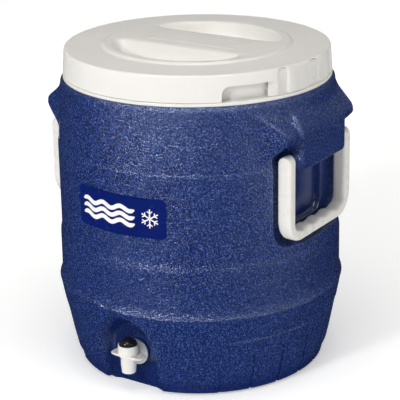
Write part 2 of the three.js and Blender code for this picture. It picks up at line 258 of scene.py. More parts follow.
def crowded(low, high, count, places):
    """count values from low to high, closer together near each (place, reach, weight)."""
    fine = np.linspace(low, high, 20001)
    density = np.ones_like(fine)
    for place, reach, weight in places:
        density += weight * np.exp(-(((fine - place) / reach) ** 4))
    total = np.concatenate([[0], np.cumsum(density[1:] + density[:-1])])
    return np.interp(np.linspace(0, total[-1], count), total, fine)


# ---------- materials ----------
class Nodes:
    """A short way to write a material's node tree."""

    def __init__(self, name):
        self.material = bpy.data.materials.new(name)
        self.material.use_nodes = True
        self.tree = self.material.node_tree
        self.shader = self.tree.nodes["Principled BSDF"]
        self.where = self.add("ShaderNodeTexCoord").outputs["Object"]

    def add(self, kind, settings=None, inputs=None):
        node = self.tree.nodes.new(kind)
        for key, value in (settings or {}).items():
            setattr(node, key, value)
        for key, value in (inputs or {}).items():
            socket = node.inputs[key]
            if isinstance(value, bpy.types.NodeSocket):
                self.tree.links.new(value, socket)
            else:
                socket.default_value = value
        return node

    def noise(self, scale, detail=2.0, roughness=0.5):
        inputs = {"Vector": self.where, "Scale": scale, "Detail": detail, "Roughness": roughness}
        return self.add("ShaderNodeTexNoise", inputs=inputs).outputs["Fac"]

    def pebbles(self, scale, smoothness):
        settings = {"feature": "SMOOTH_F1"}
        inputs = {"Vector": self.where, "Scale": scale, "Smoothness": smoothness}
        return self.add("ShaderNodeTexVoronoi", settings, inputs).outputs["Distance"]

    def ranged(self, value, low, high, to_low, to_high):
        inputs = {"Value": value, "From Min": low, "From Max": high,
                  "To Min": to_low, "To Max": to_high}
        return self.add("ShaderNodeMapRange", inputs=inputs).outputs["Result"]

    def blend(self, factor, first, second):
        colours = {key: (*value, 1) if isinstance(value, tuple) else value
                   for key, value in (("A", first), ("B", second))}
        inputs = {"Factor": factor, **colours}
        return self.add("ShaderNodeMix", {"data_type": "RGBA"}, inputs).outputs["Result"]

    def total(self, a, b, weight):
        settings = {"operation": "MULTIPLY_ADD"}
        return self.add("ShaderNodeMath", settings, {0: b, 1: weight, 2: a}).outputs[0]

    def product(self, a, b):
        return self.add("ShaderNodeMath", {"operation": "MULTIPLY"}, {0: a, 1: b}).outputs[0]

    def radius(self):
        """Distance from the jug's axis."""
        inputs = {0: self.where, 1: (1, 1, 0)}
        level = self.add("ShaderNodeVectorMath", {"operation": "MULTIPLY"}, inputs)
        return self.length(level.outputs["Vector"])

    def length(self, vector):
        node = self.add("ShaderNodeVectorMath", {"operation": "LENGTH"}, {0: vector})
        return node.outputs["Value"]

    def bump(self, height, distance, strength=1.0):
        inputs = {"Height": height, "Distance": distance * MM, "Strength": strength}
        return self.add("ShaderNodeBump", inputs=inputs).outputs["Normal"]

    def finish(self, colour, roughness, normal, **sockets):
        for key, value in (("Base Color", colour), ("Roughness", roughness), ("Normal", normal)):
            self.tree.links.new(value, self.shader.inputs[key])
        for key, value in sockets.items():
            self.shader.inputs[key.replace("_", " ")].default_value = value
        return self.material


def grained_shell():
    """Navy moulded plastic with a pebble grain that glints in the light, and pale painted glints
    on the grain's tops.
    """
    n = Nodes("shell_navy_grain_painted_glints")
    grain = n.noise(590, 0.6)
    fine = n.noise(1100, 1)
    broad = n.noise(9, 3)
    height = n.total(grain, fine, 0.3)
    tone = n.blend(n.ranged(broad, 0.35, 0.65, 0, 1), (0.003, 0.016, 0.12), (0.004, 0.021, 0.145))
    # painted shade: the painted glints fade to 0.12 closer than 165 mm to the axis, which darkens
    # the alcove, the pockets and the lowest band of the foot; the bump grain weakens there too
    glint_and_grain_reach = n.ranged(n.radius(), 156 * MM, 165 * MM, 0.12, 1)
    # pale painted glints: a lighter blue painted on the tops of the grain, standing in for
    # highlights
    painted_glints = n.product(n.ranged(grain, 0.5, 0.74, 0, 0.72), glint_and_grain_reach)
    colour = n.blend(painted_glints, tone, (0.1, 0.17, 0.42))
    roughness = n.ranged(fine, 0.3, 0.7, 0.14, 0.2)
    normal = n.bump(height, 1.2, glint_and_grain_reach)
    return n.finish(colour, roughness, normal, Specular_IOR_Level=1.0, IOR=1.75,
                    Specular_Tint=(0.74, 0.86, 1.0, 1.0))


def moulded(name, colour, shade, low_rough, high_rough, grain=0.05, grain_scale=420, **sockets):
    """Smooth moulded plastic: faint tone changes, a fine surface and scuffed patches."""
    n = Nodes(name)
    broad = n.noise(14, 4, 0.6)
    fine = n.noise(grain_scale, 3)
    tone = n.blend(n.ranged(broad, 0.3, 0.7, 0, 1), shade, colour)
    scuffs = n.noise(60, 6, 0.7)
    roughness = n.ranged(scuffs, 0.35, 0.7, low_rough, high_rough)
    normal = n.bump(n.total(fine, n.noise(45, 2), 1.5), grain)
    return n.finish(tone, roughness, normal, **sockets)


def foam_material():
    n = Nodes("rigid_foam")
    cells = n.pebbles(700, 0.2)
    tone = n.blend(n.ranged(n.noise(30, 4), 0.3, 0.7, 0, 1), (0.62, 0.5, 0.27), (0.78, 0.67, 0.42))
    colour = n.blend(n.ranged(cells, 0.1, 0.9, 0, 0.5), tone, (0.42, 0.32, 0.16))
    roughness = n.ranged(cells, 0, 1, 0.8, 0.95)
    return n.finish(colour, roughness, n.bump(cells, 0.4))


def spring_steel():
    n = Nodes("spring_steel")
    grain = n.noise(800, 4)
    colour = n.blend(n.ranged(grain, 0.3, 0.7, 0, 1), (0.5, 0.51, 0.53), (0.68, 0.69, 0.71))
    roughness = n.ranged(grain, 0.3, 0.7, 0.22, 0.36)
    return n.finish(colour, roughness, n.bump(grain, 0.02), Metallic=1.0)


SHELL = grained_shell()
LID_WHITE = moulded("lid_white", (0.84, 0.82, 0.785), (0.81, 0.79, 0.755), 0.36, 0.5, 0.07)
LINER_WHITE = moulded("liner_white", (0.86, 0.845, 0.81), (0.82, 0.8, 0.765), 0.3, 0.44, 0.05)
HANDLE_WHITE = moulded("handle_white", (0.88, 0.86, 0.82), (0.84, 0.82, 0.78), 0.24, 0.38, 0.05)
TAP_WHITE = moulded("tap_white", (0.9, 0.885, 0.86), (0.87, 0.85, 0.82), 0.18, 0.3, 0.03)
BUTTON_BLACK = moulded("button_black", (0.012, 0.012, 0.013), (0.02, 0.02, 0.022), 0.1, 0.2, 0.02,
                       Coat_Weight=0.5, Coat_Roughness=0.08)
LABEL_BLUE = moulded("label_blue", (0.001, 0.009, 0.12), (0.002, 0.012, 0.14), 0.2, 0.3, 0.03,
                     Specular_IOR_Level=0.14)
MARK_WHITE = moulded("mark_white", (0.93, 0.93, 0.92), (0.89, 0.89, 0.88), 0.3, 0.42, 0.02)
RUBBER = moulded("seal_rubber", (0.03, 0.03, 0.031), (0.042, 0.042, 0.043), 0.6, 0.8, 0.08, 900)
FOAM = foam_material()
STEEL = spring_steel()


# ---------- outer shell ----------
PROFILE = [
    (0, 148.5), (4, 152.2), (10, 158), (20, 163), (35, 166.3), (65, 172), (95, 177.5),
    (103, 178.8), (107, CREST - 0.6), (111.5, 177.9), (118, 176.5), (167, 176.3), (176, 174.6),
    (262, 174.6), (300, 172.8), (320, 171.3), (359, 168.4), (TOP, 165.4),
]
LUG = {"face": 178.0, "half": 52.5, "low": 277.0, "high": 325.0, "root": 344.0}
EAR = {"tip": 175.0, "half": 90.0, "pull": 0.46, "low": 316.5, "root": (151.8, 297.0)}
POCKET = {"floor": 150.0, "half": 79.6, "low": 184.5, "corner": 24.0}
SCOOP = {"floor": 144.5, "half": 38.0, "low": 200.0, "high": 268.0, "corner": 12.0}
ALCOVE = {"back": 142.0, "half": 33.0, "spring": 50.0, "splay": 0.365, "rise": 0.135}
PANEL = {"turn": 49.5, "top": 76.0, "corner": 15.0, "depth": 0.9, "line": 1.7}
GROOVE = {"turns": (7, 21, 35), "half": 1.6, "low": 6.0, "high": 58.0, "depth": 2.0}
BASE_R = 168.0                            # radius at which the base's arcs are measured
CREST_Z = 107.0                           # height of the widest ring
RING_LINE = 284.6                         # height of the small step round the body
BLEND_Z, BLEND_SPAN = 122, 45             # where base columns turn into lug columns


def profile(z):
    """Outside radius of the round body, with its corners eased."""
    heights, radii = np.array(PROFILE).T
    fine = np.linspace(-10, TOP + 10, 1501)
    line = np.interp(fine, heights, radii)
    ease = np.exp(-((np.arange(-12, 13) * (fine[1] - fine[0]) / 1.1) ** 2))
    eased = np.convolve(line, ease / ease.sum(), "same")
    radius = np.interp(z, fine[12:-12], eased[12:-12])
    radius = radius + 0.7 * np.exp(-(((z - CREST_Z - 0.4) / 1.7) ** 2))
    return radius + 0.9 * smooth_step((RING_LINE + 1.4 - z) / 2.8) * smooth_step((z - 258) / 24)


def base_relief(x, y, z):
    """Depth of the grip panels and their grooves, low on both sides."""
    turn = np.degrees(np.arctan2(np.abs(y), np.abs(x)))
    arc = np.radians(turn) * BASE_R
    half = math.radians(PANEL["turn"]) * BASE_R
    panel = rectangle(arc, z, half, PANEL["top"], PANEL["corner"])
    depth = PANEL["depth"] * smooth_step(-panel / 0.9 + 0.5)
    depth = depth + PANEL["line"] * np.exp(-((panel / 1.6) ** 2))
    middle, reach = (GROOVE["low"] + GROOVE["high"]) / 2, (GROOVE["high"] - GROOVE["low"]) / 2
    for at in GROOVE["turns"]:
        groove = rectangle(arc - math.radians(at) * BASE_R, z - middle, GROOVE["half"], reach, 1.4)
        depth = depth + GROOVE["depth"] * smooth_step(-groove / 0.8 + 0.4)
    return depth


def ear_underside(x, z):
    """Signed distance above the sloped underside of the ear."""
    return past_line(x, z, EAR["root"], (EAR["tip"], EAR["low"]))


def side_lugs(x, y, z, body):
    """Adds the ears, cuts the pocket, adds the block and the pin collars, and cuts the scoop."""
    across = np.abs(y)
    ear = smooth_max(-past_line(x, z, (EAR["tip"], LUG["high"] + 1.5), (149, LUG["root"])),
                     x - EAR["tip"], 5)
    ear = smooth_max(ear, -ear_underside(x, z), 3)
    ear = smooth_max(ear, across + EAR["pull"] * (x - POCKET["floor"]) - EAR["half"], 2.5)
    shape = smooth_min(body, ear, 5)
    middle = (POCKET["low"] + 420) / 2
    opening = rectangle(y, z - middle, POCKET["half"], middle - POCKET["low"], POCKET["corner"])
    pocket = smooth_max(POCKET["floor"] - x, opening, 5)
    pocket = smooth_max(pocket, ear_underside(x, z), 3)
    shape = smooth_max(shape, -pocket, 2.2)
    block = smooth_max(-past_line(x, z, (LUG["face"], LUG["high"]), (168, LUG["root"] - 2)),
                       -past_line(x, z, (168, LUG["root"] - 2), (148, LUG["root"])), 4)
    middle = (LUG["low"] + 400) / 2
    face = rectangle(y, z - middle, LUG["half"], middle - LUG["low"], 7)
    block = smooth_max(smooth_max(block, x - LUG["face"], 5), face, 4)
    shape = smooth_min(shape, block, 4)
    collar = np.hypot(x - BAIL_X, z - PIVOT_Z) - PIN["collar"]
    collar = smooth_max(collar, across - PIN["collar_end"], 1)
    shape = smooth_min(shape, collar, 1.5)
    middle = (SCOOP["low"] + SCOOP["high"]) / 2
    scoop = rectangle(y, z - middle, SCOOP["half"], SCOOP["high"] - middle, SCOOP["corner"])
    return smooth_max(shape, -smooth_max(SCOOP["floor"] - x, scoop, 5), 3)


def tap_alcove(x, y, z):
    """Signed distance to the arched alcove, negative in its hollow."""
    depth = -y - ALCOVE["back"]
    height = z - ALCOVE["spring"] - ALCOVE["rise"] * np.maximum(depth, 0)
    half = ALCOVE["half"] + ALCOVE["splay"] * depth
    arch = (np.hypot(x, np.maximum(height, 0)) - half) * 0.94
    return smooth_max(arch, -depth, 9)


def shell_distance(x, y, z):
    """Signed distance to the shell's outside, negative in the material."""
    body = np.hypot(x, y) - profile(z) + base_relief(x, y, z)
    shape = side_lugs(np.abs(x), y, z, body)
    return smooth_max(shape, -tap_alcove(x, y, z), 2.6)


def shell_radius(angle, z, inset=0.0):
    """How far out the surface lies along level rays from the axis."""
    cos, sin = np.cos(angle), np.sin(angle)
    reach = np.arange(202.0, 118.0, -2.0)
    outer = np.full(angle.shape, reach[-1] + 2)
    found = np.zeros(angle.shape, bool)
    for r in reach:
        inside = shell_distance(r * cos, r * sin, z) < -inset
        outer = np.where(inside & ~found, r + 2, outer)
        found |= inside
    inner = outer - 2
    for _ in range(9):
        middle = (inner + outer) / 2
        inside = shell_distance(middle * cos, middle * sin, z) < -inset
        inner, outer = np.where(inside, middle, inner), np.where(inside, outer, middle)
    return (inner + outer) / 2


def shell_angles(count):
    """Two spacings of columns: one for the base, one for the lugs and pockets."""
    low, high = [], []
    for side in (0, 180, 360):
        for sign in (-1, 1):
            low += [(side + sign * at, 1.0, 7) for at in GROOVE["turns"]]
            low.append((side + sign * PANEL["turn"], 2.2, 3))
            high += [(side + sign * 17.8, 3.2, 4), (side + sign * 26.8, 4, 4)]
            high.append((side + sign * 14.4, 1.8, 3))
    low += [(270 + sign * 14, 6.5, 4) for sign in (-1, 1)]
    angles = [crowded(0, 360, count + 1, places)[:-1] for places in (low, high)]
    return [np.radians(a) for a in angles]


def outer_shell():
    columns, rows, inner_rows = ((390, 215, 30))
    places = [(4, 8, 2), (57, 4, 1), (76, 3, 5), (92, 14, 1.5), (107, 5, 1), (190, 12, 1.5),
              (201, 5, 1), (274, 9, 1.5), (RING_LINE, 2, 2.5), (312, 22, 1.6), (361, 5, 2)]
    heights = crowded(0, TOP, rows, places)
    base, upper = shell_angles(columns)

    def columns_at(levels):
        share = smooth_step((levels - BLEND_Z) / BLEND_SPAN)[:, None]
        return base * (1 - share) + upper * share, np.repeat(levels[:, None], columns, axis=1)

    angle, z = columns_at(heights)
    outside = np.stack([shell_radius(angle, z), angle, z], -1)
    # the inside of the wall, from the mouth down to the filling hole
    angle, z = columns_at(np.linspace(TOP - WALL, WALL, inner_rows))
    inside = np.stack([shell_radius(angle, np.clip(z, 14, 350), WALL), angle, z], -1)

    def ring(radius, level, at):
        return np.stack([np.full(columns, float(radius)), at, np.full(columns, float(level))], -1)

    mouth = [ring(160, TOP, upper), ring(153, TOP, upper), ring(153, TOP - WALL, upper)]
    floor = [ring(70, WALL, base), ring(11, WALL, base), ring(11, 0, base), ring(75, 0, base)]
    r, a, z = np.moveaxis(np.concatenate([outside, mouth, inside, floor]), -1, 0)
    rings = polar(r, a, z)
    shell = mesh_object("shell", *skin(rings, loop=True), SHELL, crease=50)
    for side in (1, -1):
        for end in (1, -1):
            socket = circles(rod(PIN["socket"], PIN["inner"], 70, 0.01), 32)
            shaped(shell, on_pivot(socket, end, side), "DIFFERENCE")
    shaped(shell, along_shank(circles(rod(SHANK_HOLE, 130, 150, 0.01), 48)), "DIFFERENCE")
    soften(shell.data, 50)
    return shell


def fill_plug():
    """Press-in plug under the base, with a shallow dish in its face."""
    outline = [(0, 1.4), (5, 1.4), (7.4, 0.8, 0.4), (10.6, 0.8, 0.6), (10.6, 3.3),
               (14.8, 3.4, 0.4), (14.8, 4.8, 0.5), (0, 4.8)]
    return turned("fill_plug_cap", outline, SHELL, 64)


# ---------- liner with its lip and threaded neck ----------
THREAD = {"lead": 36.0, "starts": 4, "height": 3.0}
NECK_RIB = {"start": -27.0, "span": 63.0, "z": 376.0, "relief": 3.1}
LID_RIB = {"start": 0.0, "span": 27.0, "z": 376.0 - 3.8 + 36.0 * 27 / 360, "relief": 3.9}


def thread_relief(angle, z, rib):
    """Height, from 0 to 1, of the helical ribs at a point of a round wall."""
    relief = np.zeros(np.broadcast(angle, z).shape)
    for i in range(THREAD["starts"]):
        turn = (np.degrees(angle) - rib["start"] - i * 360 / THREAD["starts"]) % 360
        middle = rib["z"] + THREAD["lead"] * turn / 360
        across = np.clip((THREAD["height"] / 2 - np.abs(z - middle)) / 0.9 + 0.2, 0, 1)
        ends = smooth_step(turn / 4) * smooth_step((rib["span"] - turn) / 4)
        relief = np.maximum(relief, across * ends * (turn <= rib["span"]))
    return relief


def ring_angles(rings):
    return np.arctan2(rings[..., 1], rings[..., 0]), np.hypot(rings[..., 0], rings[..., 1])


def pushed(rings, amount):
    """Rings moved out from the axis by an amount at each point."""
    angle, radius = ring_angles(rings)
    return polar(radius + amount, angle, rings[..., 2])


def inner_liner():
    neck, wall_in = 155.0, 133.0
    neck_side = [(neck, z) for z in np.arange(368.4, 390.6, 0.75)]
    outline = [
        (0, 24), (130, 24, 8), (136, 33, 8), (136, 350, 6), (152.2, 360, 3), (152.2, 363.5),
        (LIP_R, 363.5, 0.8), (LIP_R, 367.5, 1.4), (neck, 367.5, 0.4), *neck_side,
        (neck, NECK_TOP, 0.9), (151, NECK_TOP, 0.9), (151, 364, 0.5), (148, 364, 0.8),
        (148, 362.5, 0.8), (wall_in, 350.5, 8), (wall_in, 30, 12), (0, 27),
    ]
    rings = turned_rings(outline, 240)
    angle, radius = ring_angles(rings)
    on_neck = (np.abs(radius - neck) < 0.3) & (rings[..., 2] > 368)
    relief = thread_relief(angle, rings[..., 2], NECK_RIB)
    rings = pushed(rings, NECK_RIB["relief"] * on_neck * relief)
    liner = mesh_object("liner", *skin(rings), LINER_WHITE)
    # flat pad for the outer washer, and the hole for the tap's shank
    pad = [(0, 130.9), (15.6, 130.9), (15.6, 137.6, 0.8), (0, 137.6)]
    shaped(liner, along_shank(turned_rings(pad, 64)), "UNION")
    shaped(liner, along_shank(turned_rings(rod(SHANK_HOLE, 118, 150), 48)), "DIFFERENCE")
    soften(liner.data, 32)
    return liner


# ---------- lid ----------
WELL = {"arc": 104.0, "chord": 36.0, "depth": 17.0, "arc_wall": 6.5, "chord_wall": 14.0}
PLATEAU = {"r": 114.0, "rise": 2.5}
NOTCH = {"start": 42.7, "end": 67.5, "top": 386.0, "reach": 26, "inner": 158.9, "corner": 11.0,
         "ramp": math.radians(4.5)}


def lid_height(x, y):
    """Height of the lid's upper face."""
    r = np.hypot(x, y)
    top = LID_TOP + PLATEAU["rise"] * smooth_step((PLATEAU["r"] + 3.5 - r) / 5)
    top = top - 0.5 * smooth_step((r - 118) / 40)
    well = smooth_max((r - WELL["arc"]) / WELL["arc_wall"],
                      (WELL["chord"] - np.abs(y)) / WELL["chord_wall"], 2.6)
    depth = smooth_step(-well)
    rim = 0.5 * np.exp(-((well / 0.2) ** 2))
    panel = rectangle(x, y, 64, 21, 5)
    return top - WELL["depth"] * depth - rim + 0.5 * smooth_step(-panel / 1.4)


GRIP = [  # (degrees from the front, depth) across one half of a grip; the other half mirrors it
    (63.0, 0.0), (65.8, -0.875), (67.4, -0.375), (68.2, 1.25), (71.2, 3.125), (72.2, 3.0),
    (73.4, 0.25), (75.5, -0.375), (78.4, 0.25), (79.4, 1.0), (85.4, 1.25), (86.6, 2.875),
    (88.0, 3.25), (90.0, 3.25),
]
GRIP_TOP = 399.6                          # highest point of a grip's arched upper end
BANDS = {"turns": (18, 33.6, 146.4, 162), "depth": 0.7, "half": 2.4}


def skirt_relief(angle, z):
    """Depth of the skirt's grips and shallow bands, by angle and height."""
    turn = (np.degrees(angle) + 90) % 180
    folded = np.where(turn > 90, 180 - turn, turn)
    at, deep = np.array(GRIP).T
    grip = np.interp(folded, at, deep)
    arch = GRIP_TOP - np.where(folded > 84, ((90 - folded) / 4.6) ** 2 * 5,
                               ((folded - 70.2) / 3.2) ** 2 * 5)
    depth = grip * smooth_step((np.maximum(arch, 390) - z) / 2.4 + 0.5)
    for at in BANDS["turns"]:
        arc = np.radians(turn - at) * SKIRT_R
        depth = depth + BANDS["depth"] * np.exp(-((arc / BANDS["half"]) ** 2))
    return depth


def skirt_notch():
    """The space cut out of the skirt's lower edge, round at its upper corners."""
    half = math.radians(NOTCH["end"] - NOTCH["start"]) / 2
    middle = math.radians((NOTCH["end"] + NOTCH["start"]) / 2 - 90)
    line = rounded_outline(half * SKIRT_R, NOTCH["reach"], NOTCH["corner"], 12)
    angle, z = middle + line[:, 0] / SKIRT_R, NOTCH["top"] - NOTCH["reach"] + line[:, 1]
    ramp = np.clip((line[:, 0] / SKIRT_R - half + NOTCH["ramp"]) / NOTCH["ramp"], 0, 1)
    inner = NOTCH["inner"] + ramp * (SKIRT_R + 0.5 - NOTCH["inner"])
    rings = [polar(r, angle, z) for r in (inner, SKIRT_R + 6)]
    return mesh_object("notch", *skin(np.array(rings)), LID_WHITE)


def notch_block():
    """Solid behind the skirt, which the notch's ramp runs out through."""
    angle = math.radians(NOTCH["end"] + 0.5 - 90) - NOTCH["ramp"] * np.linspace(1, 0, 9)
    section = rod(162.6, 368.1, 388, 158.5)
    rings = polar(section[None, :, 0], angle[:, None], section[None, :, 1])
    return mesh_object("block", *skin(rings), LID_WHITE)


def lid_columns(count):
    places = []
    for side in (0, 180, 360):
        places += [(side + sign * 20.3, 4, 3) for sign in (-1, 1)]
        places += [(side + sign * 5, 3, 3) for sign in (-1, 1)]
    return np.radians(crowded(0, 360, count + 1, places)[:-1])


def lid_top():
    columns = 420
    angle = lid_columns(columns)
    radii = crowded(0.6, 156, 100, [(40, 12, 1), (101, 18, 1.6)])
    reach, turn = np.meshgrid(radii, angle, indexing="ij")
    x, y = reach * np.cos(turn), reach * np.sin(turn)
    upper = np.stack([x, y, lid_height(x, y)], -1)
    # rounded rim, skirt, inside of the skirt with its thread ribs, and the underside
    rim_z = LID_TOP - 0.5
    rim = rounded([(156, rim_z), (162.5, rim_z, 4.2), (163.2, 388), (SKIRT_R, 368.5)], False, 10)
    side = [p for a, b in zip(rim[1:-1], rim[2:]) for p in np.linspace(a, b, 2, endpoint=False)]
    drop = np.linspace(side[-1], rim[-1], 30)
    outer = circles(np.array([*side[:-1], *drop]), columns)
    angle_at = np.broadcast_to(angle, outer.shape[:2])
    radius = np.hypot(outer[..., 0], outer[..., 1])
    radius = radius - skirt_relief(angle_at, outer[..., 2]) * smooth_step((radius - 161) / 1.2)
    outer = polar(radius, angle_at, outer[..., 2])
    inner_line = [(SKIRT_R - 0.5, 368), (161.8, 368),
                  *((161.4, z) for z in np.arange(368.8, 396, 0.8)), (160.6, 397), (150, 397)]
    inner = circles(np.array(inner_line), columns)
    relief = thread_relief(angle_at[:1], inner[..., 2], LID_RIB)
    on_skirt = np.abs(np.hypot(inner[..., 0], inner[..., 1]) - 161.4) < 0.3
    radius = np.hypot(inner[..., 0], inner[..., 1]) - LID_RIB["relief"] * relief * on_skirt
    inner = polar(radius, angle, inner[..., 2])
    reach, turn = np.meshgrid(np.linspace(146, 1, 36), angle, indexing="ij")
    x, y = reach * np.cos(turn), reach * np.sin(turn)
    under = np.stack([x, y, np.minimum(lid_height(x, y) - WALL, LID_TOP - WALL)], -1)
    rings = np.concatenate([upper, outer, inner, under])
    lid = mesh_object("lid_cover", *skin(rings), LID_WHITE, crease=50)
    for make, operation in ((notch_block, "UNION"), (skirt_notch, "DIFFERENCE")):
        for turn in (0, math.pi):
            tool = make()
            tool.data.transform(Matrix.Rotation(turn, 4, "Z"))
            combine(lid, tool, operation)
    soften(lid.data, 50)
    return lid


def lid_pan():
    low, high = corners("lid_pan")
    outline = [(0, low[2]), (143, low[2], 3), (149, low[2] + 6, 3), (149, 394.6, 1),
               (high[0], 394.6, 0.6), (high[0], high[2], 0.6), (146, high[2], 0.6),
               (146, low[2] + 7.5, 3), (143, low[2] + 3, 3), (0, low[2] + 3)]
    return turned("lid_pan_moulding", outline, LINER_WHITE, 192)


def lid_gasket():
    low, high = corners("lid_gasket")
    outline = [(150.6, low[2], 0.9), (high[0], low[2], 0.9), (high[0], high[2], 0.9),
               (150.6, high[2], 0.9)]
    return turned("lid_gasket_ring", outline, RUBBER, 192, loop=True)


# ---------- handles ----------
FINGERS = {"pitch": 28.0, "depth": 3.0, "half": 60.0}


def bail_path():
    """Centre line of the handle in the (y, z) plane, with its direction at each point."""
    half, low = BAIL_HALF - BAIL_BAND / 2, BAIL_LOW[2] + BAIL_BAND / 2
    corner_y, corner_z = half - BAIL_BEND, low + BAIL_BEND
    arm = [(-half, z, -math.pi / 2) for z in np.linspace(PIVOT_Z, corner_z, 12)]
    turn = np.linspace(math.pi, 1.5 * math.pi, 14)[1:]
    arc = [(-corner_y + BAIL_BEND * math.cos(a), corner_z + BAIL_BEND * math.sin(a),
            a - 1.5 * math.pi) for a in turn]
    bar = [(y, low, 0.0) for y in np.linspace(-corner_y, 0, 30)[1:]]
    half_line = arm + arc + bar
    mirrored = [(-y, z, -direction) for y, z, direction in reversed(half_line[:-1])]
    return np.array(half_line + mirrored)


def bail_section(thick, band, count=40):
    """Rounded rectangle, thick along X and band across the path."""
    angle = (np.arange(count) + 0.5) * 2 * math.pi / count
    u, v = np.cos(angle), np.sin(angle)
    power = 4.4
    size = (np.abs(u) ** power + np.abs(v) ** power) ** (-1 / power)
    return np.stack([u * size * thick / 2, v * size * band / 2], -1)


def handle(name, place):
    """A swing handle with finger dips in its bar, rounded upper ends and its two pins."""
    rings = []
    radius = BAIL_THICK / 2
    for a in np.radians(np.linspace(82, 8, 8)):
        rings.append((-(BAIL_HALF - BAIL_BAND / 2), PIVOT_Z + radius * math.sin(a),
                      -math.pi / 2, math.cos(a)))
    rings += [(y, z, direction, 1.0) for y, z, direction in bail_path()]
    rings += [(-y, z, -direction, scale) for y, z, direction, scale in reversed(rings[:8])]
    built = []
    for y, z, direction, scale in rings:
        section = bail_section((BAIL_THICK + BAIL_SWELL) * scale, BAIL_BAND)
        grip = smooth_step((FINGERS["half"] - abs(y)) / 6) * (z < BAIL_LOW[2] + BAIL_BAND)
        wave = 0.5 - 0.5 * math.cos(2 * math.pi * y / FINGERS["pitch"])
        # the inner edge turns a tighter corner than the outer one
        tight = (math.cos(direction) ** 4 + math.sin(direction) ** 4) ** -0.25 - 1
        dip = FINGERS["depth"] * grip * wave + tight * (BAIL_BEND - BAIL_BAND / 2)
        v = np.where(section[:, 1] > 0, section[:, 1] * (1 - dip / (BAIL_BAND / 2)), section[:, 1])
        across = np.array([-math.sin(direction), math.cos(direction)])
        built.append(np.stack([BAIL_X + section[:, 0], y + across[0] * v, z + across[1] * v], -1))
    bail = mesh_object(name, *skin(place(np.array(built))), HANDLE_WHITE, crease=40)
    for end in (1, -1):
        radius, inner, outer = PIN["radius"], PIN["inner"], BAIL_HALF - 4
        pin = turned_rings([(0, inner), (radius, inner, 1), (radius, outer), (0, outer)], 32)
        shaped(bail, place(on_pivot(pin, end)), "UNION")
    soften(bail.data, 40)
    return bail


# ---------- tap ----------
def tap_body():
    cup_r, cup_top = 12.6, TAP_HIGH[2]
    barrel = on_tap(turned_rings([
        (0, TAP_LOW[2]), (8.7, TAP_LOW[2], 0.5), (9.5, 34, 6), (9.5, 43, 3), (cup_r, 47.5, 2),
        (cup_r, cup_top, 0.7), (0, cup_top)], 64))
    body = mesh_object("tap", *skin(barrel), TAP_WHITE)
    shaped(body, along_shank(turned_rings(rod(7.6, 145, -TAP_Y), 48)), "UNION")
    combine(body, tap_wings(), "UNION")
    flange = along_shank(turned_rings([(0, 144.4), (16.5, 144.4, 0.5), (16.5, 147.4, 1.4),
                                       (13.6, 147.4, 0.4), (12.6, 146.6, 0.4), (0, 146.6)], 64))
    shaped(body, flange, "UNION")
    combine(body, shank(), "UNION")
    # spring seat, stem bore, nozzle and button cup, then the way through the shank
    for radius, low, high in ((6.5, 44.6, 60), (3.7, 30, 50), (7.2, 20, 35.5), (11.7, 48.2, 60)):
        shaped(body, on_tap(turned_rings(rod(radius, low, high), 48)), "DIFFERENCE")
    shaped(body, along_shank(turned_rings(rod(5.2, 110, 161), 48)), "DIFFERENCE")
    blend = body.modifiers.new("blend", "REMESH")
    blend.mode = "VOXEL"
    blend.voxel_size = 0.42 * MM
    ease = body.modifiers.new("ease", "SMOOTH")
    ease.factor = 0.5
    ease.iterations = 6
    apply_modifiers(body)
    soften(body.data, 60)
    return body


def tap_wings():
    """Thin plate that the fingers hold while the thumb presses, drooping at its tips."""
    turn = np.linspace(0, 2 * math.pi, 96, endpoint=False)
    u, v = np.cos(turn), np.sin(turn)
    size = (np.abs(u) ** 3.2 + np.abs(v) ** 2.6) ** (-1 / 2.8)
    half_x, half_y, droop = 23.2, 10.6, 1.4
    layers = []
    for shrink, z in ((0.6, 46.2), (0.05, 46.9), (0.0, 47.6), (0.05, 48.3), (0.6, 49.0)):
        x = u * size * (half_x - shrink)
        y = v * size * (half_y - shrink) + TAP_Y
        layers.append(np.stack([x, y, z - droop * (x / half_x) ** 4], -1))
    return mesh_object("wings", *skin(np.array(layers)), TAP_WHITE)


def shank():
    """Threaded tail of the tap that the nut runs on."""
    line = [(7.0, 117.2)] + [(8, z) for z in np.arange(118, 146, 0.42)]
    rings = circles(np.array(line), 64)
    angle, _ = ring_angles(rings)
    pitch = 2.6
    wave = np.abs(((rings[..., 2] / pitch - angle / (2 * math.pi)) % 1) - 0.5) * 2
    depth = 0.75 * smooth_step(1.4 * (1 - wave)) * (rings[..., 2] < 138) * (rings[..., 2] > 117.5)
    return mesh_object("shank", *skin(along_shank(pushed(rings, -depth))), TAP_WHITE)


def tap_button():
    low, high = BUTTON_LOW[2], BUTTON_HIGH[2]
    outline = [(0, 62.3), (3.4, 62.3), (3.4, 60.6), (8.4, 60.6, 0.5), (8.4, low, 0.4),
               (11.3, low, 0.6), (11.3, 60, 3), (10.4, 64.4, 4), (6, high - 0.5, 5), (0, high)]
    return turned("button", outline, BUTTON_BLACK, 72, place=on_tap, steps=8)


def tap_spring():
    low, high = corners("tap_spring")
    turns, steps, wire, coil = 4, 36, 0.6, 5.2
    t = np.arange(turns * steps + 1) / (turns * steps)
    angle = 2 * math.pi * turns * t
    rise = smooth_step(t * 1.15 - 0.075) * 0.4 + np.clip(t * 1.15 - 0.075, 0, 1) * 0.6
    middle = low[2] + wire + (high[2] - low[2] - 2 * wire) * rise
    around = np.arange(14) * 2 * math.pi / 14
    radius = coil + wire * np.cos(around)[None, :]
    rings = np.stack([radius * np.cos(angle)[:, None], radius * np.sin(angle)[:, None],
                      middle[:, None] + wire * np.sin(around)[None, :]], -1)
    return mesh_object("spring", *skin(on_tap(rings)), STEEL)


